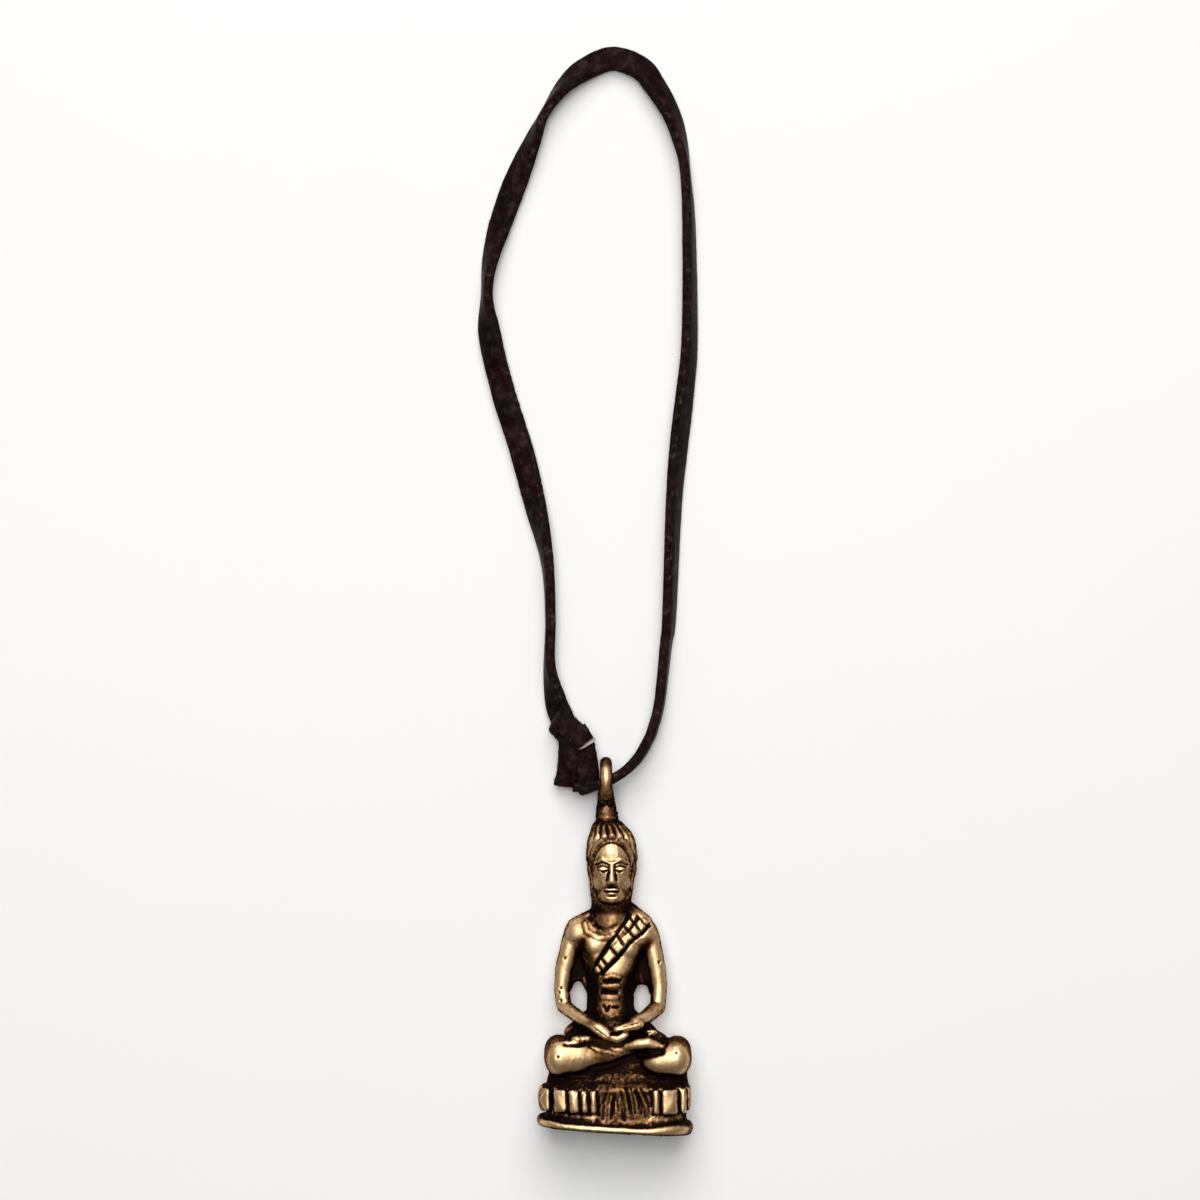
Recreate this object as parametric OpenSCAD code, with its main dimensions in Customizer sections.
// Seated figure amulet: a brass casting with a hanging loop, on a knotted leather thong.
// The amulet lies on its back. +X is to the right, +Y runs up the figure to the loop, +Z faces the viewer.
// The origin is under the middle of the amulet, on the surface that it lies on.

/* [Foot rim] */
// Width of the foot rim
rim_width = 19.6; // [18:0.1:24]
// Depth of the foot rim from back to front
rim_depth = 11; // [10:0.1:14]
// Thickness of the foot rim
rim_thickness = 1.1; // [0.8:0.1:2]
// Slope that the maker's hand left in the foot rim, in degrees
rim_slope = 3.4; // [0:0.1:5]

/* [Lotus seat] */
// Width of the seat inside its petals
seat_width = 17.6; // [16:0.1:19]
// Depth of the seat inside its petals
seat_depth = 9.1; // [8:0.1:10]
// Height of the seat above the foot rim
seat_height = 4.5; // [3.8:0.1:6]
// Width of one petal
petal_width = 1.6; // [1:0.1:2.4]
// Height of one petal
petal_height = 3.6; // [2.6:0.1:3.8]
// How far a petal stands out of the seat
petal_relief = 0.7; // [0.3:0.1:0.9]
// Height of the ledge that slopes back above the petals
ledge_height = 1.1; // [0.6:0.1:1.4]
// Width of the robe's end that hangs over the front of the seat
apron_width = 6.6; // [4:0.1:8]
// How far the robe's end sits to the right of the legs' middle
apron_shift = 1; // [0:0.1:1.6]

/* [Legs and hands] */
// How far the legs sit to the right of the seat's middle
leg_shift = 0.4; // [0:0.1:0.6]
// Width across both knees
knee_span = 18.4; // [16:0.1:20]
// Height of a folded knee
knee_height = 4.7; // [4:0.1:6]
// Depth of a folded knee from back to front
knee_depth = 7; // [5:0.1:9]
// Groove between the seat and the knees
knee_gap = 1.4; // [0.8:0.1:2]
// Thickness of a shin
shin_thickness = 3.4; // [2.4:0.1:4]
// Length of a foot
foot_length = 5.2; // [3:0.1:6]
// Thickness of a foot
foot_thickness = 1.7; // [1:0.1:2.4]
// Length of a hand
hand_length = 3.4; // [2.4:0.1:4.4]
// Thickness of a hand
hand_thickness = 1.4; // [1:0.1:2]

/* [Body and arms] */
// How far the body sits to the left of the seat's middle
body_shift = 0.5; // [0:0.1:1]
// Height of the waist above the knees
waist_height = 5.7; // [5:0.1:7]
// Width of the waist
waist_width = 4.4; // [4:0.1:6]
// Width of the flanks, which stand back behind the waist
flank_width = 5.9; // [5:0.1:7]
// Height of the chest above the waist
chest_height = 5.5; // [4.6:0.1:7]
// Width of the chest
chest_width = 9; // [7:0.1:10]
// Depth of the chest from back to front
chest_depth = 5.6; // [4.4:0.1:7]
// Height of the shoulders above the chest
shoulder_height = 2.2; // [1.6:0.1:3]
// Width across both shoulders
shoulder_span = 12; // [11:0.1:14]
// Roundness of a shoulder
shoulder_size = 4.2; // [3.4:0.1:5]
// Width across both elbows
elbow_span = 14.2; // [13:0.1:16]
// Thickness of an upper arm
arm_thickness = 2; // [1.6:0.1:2.6]
// Thickness of a wrist
wrist_thickness = 1.4; // [1:0.1:1.8]
// Thickness of the metal left between the arms and the body
web_thickness = 1.3; // [0.8:0.1:2]
// Distance from the amulet's back to the middle of that metal
web_depth = 2.2; // [1.4:0.1:3]
// Width of the robe's band across the chest
sash_width = 1.7; // [1:0.1:2.4]
// How far the robe's band stands out
sash_relief = 0.35; // [0.2:0.05:0.6]

/* [Head and spire] */
// Height of the neck above the shoulders
neck_height = 2.6; // [2:0.1:3.4]
// Thickness of the neck
neck_thickness = 5; // [4:0.1:5.6]
// Height of the head from chin to hairline
head_height = 8.2; // [7:0.1:9.6]
// Width of the head
head_width = 6.3; // [5:0.1:7]
// Depth of the head from back to front
head_depth = 7.2; // [6:0.1:8]
// Height of the spire above the hairline
spire_height = 4.4; // [3:0.1:6]
// Width of the spire's top, where the loop is brazed on
spire_top_width = 2.5; // [2:0.1:3]
// Lean of the hair and spire to the left, in degrees
spire_lean = 3; // [0:0.5:6]

/* [Hanging loop] */
// Width of the loop's wire
loop_width = 1.6; // [1.2:0.1:2.2]
// Thickness of the loop's wire around its eye
loop_wall = 1.4; // [1:0.1:2]
// How far the loop's foot is flattened where it is brazed on
loop_sink = 0.5; // [0.3:0.1:0.8]
// Diameter of a bead of braze at the loop's foot
bead_size = 0.8; // [0.4:0.1:1]
// Space between the thong's corners and the wall of the eye
eye_clearance = 0.25; // [0.15:0.05:0.6]

/* [Thong] */
// Width of the flat leather lace
lace_width = 3; // [2:0.1:3.4]
// Thickness of the leather lace
lace_thickness = 1.2; // [0.8:0.1:1.6]
// Rounding of the lace's cut edges
lace_corner = 0.25; // [0.1:0.05:0.35]

/* [Knot] */
// Width of the knot
knot_width = 5; // [3.6:0.1:6]
// Length of the knot along the thong
knot_length = 8.6; // [7:0.1:10]
// Depth of the knot from back to front
knot_depth = 4.4; // [3.4:0.1:5]
// Running gap between the knot and the hanging loop
knot_gap = 0.25; // [0.2:0.05:0.6]
// Length of the upper tail that stands out of the knot
upper_tail_length = 3.4; // [2:0.1:5]
// Length of the lower tail that stands out of the knot
lower_tail_length = 1.1; // [0.6:0.1:2]

/* [Hidden] */
brass = "#a8854a";
leather = "#3a2b2b";
raw_leather = "#4a3836";

// Roundness of the oval plan shared by the rim and the seat: 2 is an ellipse, more is squarer
oval_power = 3;
full_turn = 360;
oval_steps = 48;
ball_steps = 20;
limb_steps = 14;
petal_steps = 10;
overrun = 0.5;

// Shares of the size that each follows
knee_round_share = 0.74;
calf_share = 0.62;
elbow_share = 0.58;
forearm_share = 0.85;
pectoral_share = 0.7;
collar_share = 0.75;
skull_share = 0.94;
jaw_share = 0.8;
ridge_share = 0.47;
bead_place_share = 0.6;
oval_girth_share = 1.14;

// Levels up the figure, from the middle of the rim's underside
seat_level = rim_thickness + seat_height;
knee_low = seat_level + knee_gap;
knee_level = knee_low + knee_height / 2;
lap_level = knee_low + knee_height;
waist_level = lap_level + waist_height;
chest_level = waist_level + chest_height;
shoulder_level = chest_level + shoulder_height;
chin_level = shoulder_level + neck_height;
head_level = chin_level + head_height / 2;
hair_level = chin_level + head_height;
spire_level = hair_level + spire_height;

// The loop's eye, which the thong passes through along X
eye_radius = norm([lace_width, lace_thickness]) / 2 + eye_clearance;
loop_radius = eye_radius + loop_wall;
eye_level = spire_level + loop_radius - loop_sink;
top_level = eye_level + loop_radius;

// The rim slopes, so its right end reaches lowest and its two ends reach unequally far
rim_drop = rim_width / 2 * sin(rim_slope);
rim_shift = rim_thickness * sin(rim_slope) / 2;
base_x = -rim_shift;
base_y = -(top_level - rim_drop) / 2;
lean_share = tan(spire_lean);
axis_depth = head_depth / 2;
eye_x = base_x - body_shift - (eye_level - head_level) * lean_share;
eye_y = base_y + eye_level;
spire_x = base_x - body_shift - (spire_level - head_level) * lean_share;

// Places across, up and forward inside the figure
middle_depth = rim_depth / 2;
knee_side = (knee_span - knee_depth) / 2;
knee_front = rim_depth - knee_depth / 2 - knee_gap / 2;
elbow_side = (elbow_span - arm_thickness) / 2;
elbow_level = lap_level + waist_height * elbow_share;
arm_depth = axis_depth + arm_thickness / 8;
shoulder_side = (shoulder_span - arm_thickness) / 2;
chest_side = chest_width / 4 - sash_relief;
chest_front = chest_depth - chest_depth * pectoral_share / 2;
nose_size = head_width / 7;
lap_front = rim_depth - shin_thickness / 2 - sash_relief;
hand_level = lap_level + hand_thickness / 2;
hand_front = lap_front - hand_thickness / 4;

// Girth of the head and spire at shares of the height from chin to spire top
head_rise_shares = [0, 0.08, 0.2, 0.36, 0.52, 0.64, 0.71, 0.77, 0.83, 0.88, 0.94];
head_girth_shares = [0.7, 0.82, 0.89, 0.99, 0.97, 0.9, 0.79, 0.64, 0.54, 0.47, 0.42];

// The knot lies beside the loop, on the left of the eye
knot_x = eye_x - (loop_width + knot_width) / 2 - knot_gap;
knot_y = eye_y + knot_length / 3;
lower_tilt = 6;
middle_tilt = -24;
upper_tilt = 14;
upper_tail_turn = 215;
upper_tail_rise = -8;
lower_tail_turn = 115;

// Centre line of the thong's free stretch, from the knot through the eye and round to the knot again.
// Each row is across, up, height above the surface, and the roll of the lace's face, in degrees.
thong_route = [
    [-4.8, 19.6, 2.4, 90],
    [-3.0, 19.7, 3.1, 90],
    [-1.3, 20.2, 3.6, 90],
    [0.3, 21.0, 3.5, 88],
    [1.7, 22.0, 3.2, 86],
    [3.0, 23.4, 3.0, 84],
    [4.0, 25.1, 2.7, 84],
    [4.7, 26.7, 2.4, 84],
    [5.6, 30.2, 2.0, 84],
    [6.4, 37.3, 1.6, 80],
    [6.8, 40.8, 1.6, 74],
    [7.4, 54.9, 1.6, 66],
    [8.0, 62.0, 1.5, 58],
    [8.8, 69.0, 1.5, 58],
    [9.4, 76.1, 1.6, 66],
    [9.3, 90.2, 1.6, 76],
    [8.8, 97.3, 1.6, 84],
    [8.2, 100.8, 1.5, 70],
    [7.1, 104.3, 1.5, 55],
    [5.0, 107.9, 1.4, 35],
    [3.2, 110.1, 1.2, 20],
    [-0.2, 111.3, 1.0, 5],
    [-3.5, 110.1, 1.2, 25],
    [-6.3, 107.9, 1.5, 60],
    [-8.8, 104.3, 1.6, 85],
    [-10.4, 100.8, 1.6, 60],
    [-13.3, 93.7, 1.1, 20],
    [-15.5, 86.7, 1.4, 60],
    [-16.1, 81.4, 1.6, 80],
    [-15.7, 76.1, 1.3, 35],
    [-14.0, 69.0, 1.1, 20],
    [-11.8, 62.0, 1.1, 20],
    [-10.0, 54.9, 1.4, 45],
    [-8.5, 47.9, 1.6, 78],
    [-8.1, 40.8, 1.6, 86],
    [-8.2, 34.7, 1.6, 80],
    [-7.4, 30.2, 1.4, 40],
    [-6.7, 28.3, 1.3, 25],
    [-5.9, 26.1, 1.3, 20],
    [-5.2, 24.1, 1.6, 15]
];

// Plan of the rim and the seat: across against front to back
function oval(width, depth, turn) = [
    width / 2 * sign(cos(turn)) * pow(abs(cos(turn)), 2 / oval_power),
    depth / 2 * sign(sin(turn)) * pow(abs(sin(turn)), 2 / oval_power)
];

function oval_outline(width, depth) =
    [for (i = [0:oval_steps - 1]) oval(width, depth, full_turn * i / oval_steps)];

module ball(size, steps = ball_steps) {
    scale([size.x, size.y, size.z]) sphere(d = 1, $fn = steps);
}

module limb(from, from_size, to, to_size) {
    hull() {
        translate(from) sphere(d = from_size, $fn = limb_steps);
        translate(to) sphere(d = to_size, $fn = limb_steps);
    }
}

// An upright slab of the oval plan, with its middle at the given depth
module oval_slab(width, depth, height, middle) {
    translate([0, height, middle])
        rotate([90, 0, 0])
            linear_extrude(height)
                polygon(oval_outline(width, depth));
}

module mirrored() {
    children();
    mirror([1, 0, 0]) children();
}

// The foot rim, which slopes about the middle of its underside
module foot_rim() {
    rotate([0, 0, -rim_slope])
        oval_slab(rim_width, rim_depth, rim_thickness, middle_depth);
}

// The seat rises from inside the sloping rim to a level top
module seat_core() {
    hull() {
        rotate([0, 0, -rim_slope])
            translate([0, rim_thickness / 2, 0])
                oval_slab(seat_width, seat_depth, rim_thickness / 2, middle_depth);
        translate([0, seat_level - petal_relief, 0])
            oval_slab(seat_width, seat_depth, petal_relief, middle_depth);
    }
}

// One petal, standing at a turn round the seat
module petal(turn) {
    place = oval(seat_width, seat_depth, turn);
    translate([place.x, rim_thickness + seat_height - petal_height / 2, middle_depth + place.y])
        rotate([0, 90 - atan2(place.y, place.x), 0])
            hull() for (end = [-1, 1])
                translate([0, end * (petal_height - petal_width) / 2, 0])
                    ball([petal_width, petal_width, 2 * petal_relief], petal_steps);
}

// Petals stand all round, except where the robe's end hangs over the front
module petals() {
    step = full_turn * petal_width / (PI * (seat_width + seat_depth) / 2 * oval_girth_share);
    middle = leg_shift + apron_shift;
    for (turn = [0:step:full_turn - step / 2]) {
        place = oval(seat_width, seat_depth, turn);
        if (place.y < 0 || abs(place.x - middle) > (apron_width + petal_width) / 2) petal(turn);
    }
}

// A ledge slopes back from the top of the seat to the groove under the knees
module ledge() {
    hull() {
        translate([0, seat_level - petal_relief, 0])
            oval_slab(seat_width, seat_depth, petal_relief, middle_depth);
        translate([0, seat_level, 0])
            oval_slab(seat_width - knee_gap / 4, seat_depth - 2 * knee_gap, ledge_height, middle_depth);
    }
}

// The robe's end hangs from the ledge down over the front of the seat
module apron() {
    low_side = (apron_width - rim_thickness) / 2;
    high_side = (apron_width - knee_gap) / 2;
    hull() mirrored()
        for (place = [
            [low_side, rim_thickness, rim_depth - knee_gap],
            [low_side, seat_level - rim_thickness / 2, rim_depth - knee_gap],
            [high_side, seat_level + ledge_height / 2, rim_depth - 2 * knee_gap]
        ])
            translate(place) sphere(d = rim_thickness, $fn = limb_steps);
}

// A folded knee: a fat round lump that runs in towards the lap
module knee() {
    round_size = knee_height * knee_round_share;
    rise = (knee_height - round_size) / 2;
    side = (knee_span - round_size) / 2;
    front = rim_depth - (knee_gap + round_size) / 2;
    hull() {
        for (level = [knee_level - rise, knee_level + rise], depth = [middle_depth, front])
            translate([side, level, depth]) sphere(d = round_size, $fn = limb_steps);
        translate([knee_side - knee_gap / 2, knee_level + knee_gap / 8, front - knee_gap / 3])
            ball([knee_depth * calf_share, knee_height - knee_gap / 3, round_size]);
    }
}

module legs() {
    // Both knees, with the thighs running back to the hips
    mirrored() {
        knee();
        limb(
            [knee_side - knee_gap, knee_level + knee_gap / 2, middle_depth], knee_height,
            [waist_width / 2, lap_level - knee_gap / 2, web_thickness + knee_height / 2], knee_height
        );
    }
    // The block between the seat and the lap stands back under the knees
    block_depth = seat_depth - 2.5 * knee_gap;
    translate([0, seat_level, 0])
        oval_slab(seat_width - knee_gap / 4, block_depth, knee_level - seat_level, middle_depth);
    // The lap behind the hands
    hull() {
        translate([0, knee_level, middle_depth])
            ball([2 * knee_side + knee_gap, knee_height, knee_height + rim_thickness]);
        translate([0, lap_level - knee_gap / 2, axis_depth + knee_gap])
            ball([2 * knee_side, shin_thickness, knee_height + knee_gap / 2]);
    }
    // The left knee's shin crosses over the right knee's shin
    shin_side = knee_side - knee_gap / 2;
    limb(
        [-shin_side, knee_level, knee_front + knee_gap / 2], shin_thickness,
        [(foot_length - knee_gap) / 2, lap_level - knee_gap, knee_front + knee_gap / 2], shin_thickness / 2
    );
    limb(
        [shin_side, knee_level - knee_gap * calf_share, knee_front + knee_gap / 3], shin_thickness,
        [foot_length / 2, knee_low + knee_gap / 2, knee_front - knee_gap / 3], shin_thickness * calf_share
    );
    // The right foot lies sole up on the left thigh, and the other shows its toes only
    translate([foot_length * calf_share, lap_level - foot_thickness / 2, lap_front - foot_thickness / 4])
        ball([foot_length, foot_thickness, foot_thickness]);
    translate([-knee_side + foot_thickness, lap_level, lap_front - foot_thickness])
        ball([foot_length / 2, foot_thickness / 2, foot_thickness]);
}

// One side of the chest
module pectoral() {
    translate([chest_side, chest_level, chest_front])
        ball([chest_width - 2 * chest_side, chest_height * pectoral_share, chest_depth * pectoral_share]);
}

module torso() {
    waist_size = [waist_width, waist_width, chest_depth - knee_gap];
    flank_size = [flank_width, 2 * arm_thickness, 2 * web_thickness];
    // Hips and belly
    hull() {
        translate([0, lap_level, web_thickness + chest_depth / 2])
            ball([waist_width + knee_gap, knee_height, chest_depth]);
        translate([0, waist_level, axis_depth]) ball(waist_size);
    }
    // The flanks stand back behind the waist
    hull() for (level = [waist_level, elbow_level - arm_thickness / 2])
        translate([0, level, web_depth + web_thickness / 4]) ball(flank_size);
    // The hips spread behind the forearms
    mirrored() limb(
        [elbow_side - arm_thickness / 2, lap_level, web_depth + web_thickness / 2], knee_height / 2,
        [waist_width / 2, lap_level + waist_height / 4, axis_depth], knee_height * knee_round_share
    );
    // The trunk widens from the narrow of the waist to the chest
    hull() {
        translate([0, waist_level, axis_depth]) ball(waist_size);
        mirrored() pectoral();
    }
    // The chest rises to the collar
    hull() {
        mirrored() pectoral();
        translate([0, shoulder_level, axis_depth])
            ball([chest_width * collar_share, neck_height, chest_depth * collar_share]);
    }
    // The shoulders slope up to the neck
    mirrored() hull() {
        translate([(shoulder_span - shoulder_size) / 2, shoulder_level - arm_thickness / 2, axis_depth])
            ball([shoulder_size, shoulder_size, shoulder_size * skull_share]);
        translate([0, shoulder_level, axis_depth])
            ball([neck_thickness, 2 * neck_height, chest_depth * collar_share]);
    }
    limb(
        [0, shoulder_level, axis_depth], neck_thickness,
        [0, chin_level + neck_height / 2, axis_depth], neck_thickness
    );
}

module arms() {
    shoulder = [shoulder_side - arm_thickness / 8, shoulder_level - arm_thickness / 2, axis_depth];
    bend = [elbow_side - arm_thickness / 8, waist_level + arm_thickness, arm_depth];
    widest = [elbow_side, waist_level, arm_depth];
    elbow = [elbow_side - arm_thickness / 8, elbow_level, axis_depth + arm_thickness / 3];
    forearm = [elbow_side - arm_thickness, lap_level + arm_thickness, lap_front - arm_thickness];
    wrist_side = elbow_side - 2 * arm_thickness;
    wrist = [wrist_side, hand_level + wrist_thickness / 2, hand_front - wrist_thickness / 4];
    mirrored() {
        // The upper arm leaves the shoulder, bows out and comes in at the elbow
        limb(shoulder, arm_thickness + sash_relief, bend, arm_thickness);
        limb(bend, arm_thickness, widest, arm_thickness);
        limb(widest, arm_thickness, elbow, arm_thickness);
        limb(elbow, arm_thickness, forearm, arm_thickness * forearm_share);
        limb(forearm, arm_thickness * forearm_share, wrist, wrist_thickness);
    }
    // One hand lies in the other, palms up
    translate([-hand_thickness / 4, hand_level - hand_thickness / 4, hand_front])
        rotate([0, 0, -6 * rim_slope]) ball([hand_length, hand_thickness, hand_thickness]);
    translate([hand_thickness / 2, hand_level + hand_thickness / 3, hand_front - hand_thickness / 4])
        rotate([0, 0, 4 * rim_slope]) ball([hand_length, hand_thickness, hand_thickness]);
}

// Metal left between arms and body by the casting, from the shoulders down to the two windows
module web() {
    web_low = waist_level + web_thickness * knee_round_share;
    hull() mirrored()
        for (place = [
            [shoulder_side, shoulder_level - arm_thickness], [elbow_side - arm_thickness / 4, web_low],
            [0, web_low], [0, shoulder_level]
        ])
            translate([place.x, place.y, web_depth]) sphere(d = web_thickness, $fn = limb_steps);
}

// One flat length of the robe's band, between two places
module sash_length(from, to) {
    hull() {
        translate(from) ball([sash_width, sash_width, 2 * sash_relief]);
        translate(to) ball([sash_width, sash_width, 2 * sash_relief]);
    }
}

// The robe's band runs from the shoulder on the right down to the left of the chest
module sash() {
    chest_face = chest_front + chest_depth * pectoral_share / 2;
    low = [sash_relief - chest_side, chest_level - 2 * sash_width, chest_face - sash_relief];
    near = [-chest_side / 4, chest_level - sash_width, chest_face];
    mid = [chest_side / 2, chest_level, chest_face];
    high = [chest_side + sash_width / 2, chest_level + sash_width, chest_face - sash_relief];
    top = [chest_side + sash_width, shoulder_level + sash_relief, axis_depth + neck_thickness / 5];
    sash_length(low, near);
    sash_length(near, mid);
    sash_length(mid, high);
    sash_length(high, top);
}

module head() {
    span = spire_level - chin_level;
    outline = [
        for (i = [0:len(head_rise_shares) - 1])
            [head_girth_shares[i] * head_width / 2, head_rise_shares[i] * span]
    ];
    // The head and spire are one turned form, whose top is the seat of the loop
    translate([0, chin_level, axis_depth])
        rotate([-90, 0, 0])
            rotate_extrude($fn = 2 * limb_steps)
                polygon(concat([[0, 0]], outline, [[spire_top_width / 2, span], [0, span]]));
    // A low ridge where the hair ends and the spire begins
    translate([0, spire_level - spire_height / 3, axis_depth])
        ball([head_width * ridge_share, spire_height / 8, head_width * ridge_share]);
    translate([0, head_level - head_height * (1 - skull_share) / 2, axis_depth])
        ball([head_width * skull_share, head_height * skull_share, head_depth]);
    // Jaw and nose
    translate([0, chin_level + head_height / 3, axis_depth + head_depth / 10])
        ball([head_width * jaw_share, head_height * jaw_share, head_depth * jaw_share]);
    translate([0, head_level - nose_size / 2, axis_depth + head_depth * skull_share / 2])
        ball([nose_size, 2 * nose_size, nose_size]);
}

module figure_casting() {
    color(brass)
        translate([base_x, base_y, 0]) {
            foot_rim();
            seat_core();
            petals();
            translate([leg_shift, 0, 0]) {
                ledge();
                translate([apron_shift, 0, 0]) apron();
                legs();
            }
            translate([-body_shift, 0, 0]) {
                torso();
                arms();
                web();
                sash();
                // The hair and spire lean over to the left, about the middle of the head
                translate([head_level * lean_share, 0, 0])
                    multmatrix([[1, -lean_share, 0, 0], [0, 1, 0, 0], [0, 0, 1, 0], [0, 0, 0, 1]])
                        head();
            }
        }
}

// Section of the loop's wire with its round outer side, before the eye is cut
module loop_section() {
    outer_middle = loop_radius - loop_width / 2;
    translate([eye_radius - overrun, -loop_width / 2])
        square([outer_middle - eye_radius + overrun, loop_width]);
    translate([outer_middle, 0]) circle(d = loop_width, $fn = 48);
}

module hanging_loop() {
    foot_radius = spire_top_width / 2;
    color(brass)
        difference() {
            union() {
                translate([eye_x, eye_y, axis_depth])
                    rotate([0, 90, 0])
                        rotate_extrude($fn = 96) loop_section();
                // The foot spreads on to the top of the spire
                translate([spire_x, base_y + spire_level - overrun, axis_depth])
                    rotate([-90, 0, 0])
                        cylinder(h = loop_wall + overrun, r1 = foot_radius, r2 = loop_width / 2, $fn = 48);
                // Two beads of braze at the front of the foot
                for (side = [-1, 1])
                    translate([
                        spire_x + side * bead_size * bead_place_share,
                        base_y + spire_level + bead_size * bead_place_share,
                        axis_depth + foot_radius - bead_size / 4
                    ])
                        sphere(d = bead_size, $fn = 24);
            }
            // The eye stays a true round hole
            translate([eye_x, eye_y, axis_depth])
                rotate([0, 90, 0])
                    cylinder(h = 2 * foot_radius + overrun, r = eye_radius, center = true, $fn = 96);
            // The foot is flat where it meets the spire
            translate([
                spire_x - loop_radius,
                base_y + spire_level - loop_radius,
                axis_depth - loop_radius
            ])
                cube([2 * loop_radius, loop_radius, 2 * loop_radius]);
        }
}

// Points between the route's own points, on a smooth curve through them
function curve_value(a, b, c, d, t) =
    0.5 * (2 * b + (c - a) * t + (2 * a - 5 * b + 4 * c - d) * t * t + (3 * b - a - 3 * c + d) * t * t * t);
function route_row(route, i) = route[max(0, min(len(route) - 1, i))];
function smooth_route(route, parts) = [
    for (i = [0:len(route) - 2], k = [0:parts - 1])
        curve_value(
            route_row(route, i - 1), route_row(route, i), route_row(route, i + 1), route_row(route, i + 2),
            k / parts
        ),
    route[len(route) - 1]
];

function unit(v) = v / norm(v);
function place_of(row) = [row[0], row[1], row[2]];

// Half of the lace's section in its width and thickness, with its corners taken off
function lace_corners() =
    let (w = lace_width / 2, t = lace_thickness / 2, c = lace_corner)
    [[w, t - c], [w - c, t], [c - w, t], [-w, t - c], [-w, c - t], [c - w, -t], [w - c, -t], [w, c - t]];

// One ring of points across the lace, turned by the roll of its face and kept above the surface
function lace_ring(rows, i) =
    let (
        here = place_of(rows[i]),
        ahead = place_of(rows[min(i + 1, len(rows) - 1)]),
        behind = place_of(rows[max(i - 1, 0)]),
        along = unit(ahead - behind),
        side = unit(cross(along, [0, 0, 1])),
        up = cross(side, along),
        roll = rows[i][3],
        face = up * cos(roll) + side * sin(roll),
        across = cross(along, face),
        ring = [for (c = lace_corners()) here + across * c.x + face * c.y],
        low = min([for (p = ring) p.z])
    )
    [for (p = ring) p - [0, 0, min(low, 0)]];

module lace(rows) {
    sides = len(lace_corners());
    last = len(rows) - 1;
    points = [for (i = [0:last]) each lace_ring(rows, i)];
    walls = [
        for (i = [0:last - 1], k = [0:sides - 1])
            let (a = i * sides + k, b = i * sides + (k + 1) % sides)
            each [[a, a + sides, b + sides], [a, b + sides, b]]
    ];
    ends = [
        for (k = [1:sides - 2])
            each [[0, k, k + 1], [last * sides, last * sides + k + 1, last * sides + k]]
    ];
    polyhedron(points, concat(walls, ends));
}

module thong_loop() {
    color(leather) lace(smooth_route(thong_route, 2));
}

// A turn of the lace drawn tight round the knot, as a tilted band with eased edges
module knot_band(width, depth, tilt) {
    rotate([0, 0, tilt])
        hull() {
            translate([0, lace_corner - lace_width / 2, 0])
                oval_slab(width, depth, lace_width - 2 * lace_corner, 0);
            translate([0, -lace_width / 2, 0])
                oval_slab(width - 2 * lace_corner, depth - 2 * lace_corner, lace_width, 0);
        }
}

module knot_turns() {
    inner_width = knot_width - lace_thickness / 2;
    inner_depth = knot_depth - lace_thickness / 2;
    band_shift = (knot_length - lace_width) / 2 - lace_corner;
    color(leather)
        translate([knot_x, knot_y, knot_depth / 2]) {
            // The strands inside show between the turns
            translate([0, -band_shift, 0])
                oval_slab(knot_width - lace_thickness, knot_depth - lace_thickness, 2 * band_shift, 0);
            translate([0, -band_shift, 0]) knot_band(knot_width, knot_depth, lower_tilt);
            knot_band(inner_width, inner_depth, middle_tilt);
            translate([0, band_shift, -lace_thickness / 4]) knot_band(inner_width, inner_depth, upper_tilt);
        }
}

// A flat end of the lace, with its corners eased, that starts at the origin and points along Y
module lace_end(length) {
    hull() {
        translate([-lace_width / 2, 0, lace_corner - lace_thickness / 2])
            cube([lace_width, length, lace_thickness - 2 * lace_corner]);
        translate([lace_corner - lace_width / 2, 0, -lace_thickness / 2])
            cube([lace_width - 2 * lace_corner, length, lace_thickness]);
    }
}

// The upper end folds down over the front of the knot and shows its cut edge
module tail_upper() {
    color(raw_leather)
        translate([
            knot_x - knot_width / 4,
            knot_y + knot_length / 2 + lace_thickness,
            knot_depth - lace_thickness
        ])
            rotate([0, 0, upper_tail_turn])
                rotate([upper_tail_rise, 0, 0])
                    lace_end(upper_tail_length);
}

// The lower end lies flat under the knot and stands out as one corner
module tail_lower() {
    color(raw_leather)
        translate([knot_x, knot_y - knot_length / 4, lace_thickness / 2])
            rotate([0, 0, lower_tail_turn])
                lace_end(lace_width / 2 + lower_tail_length);
}

figure_casting();
hanging_loop();
thong_loop();
knot_turns();
tail_upper();
tail_lower();
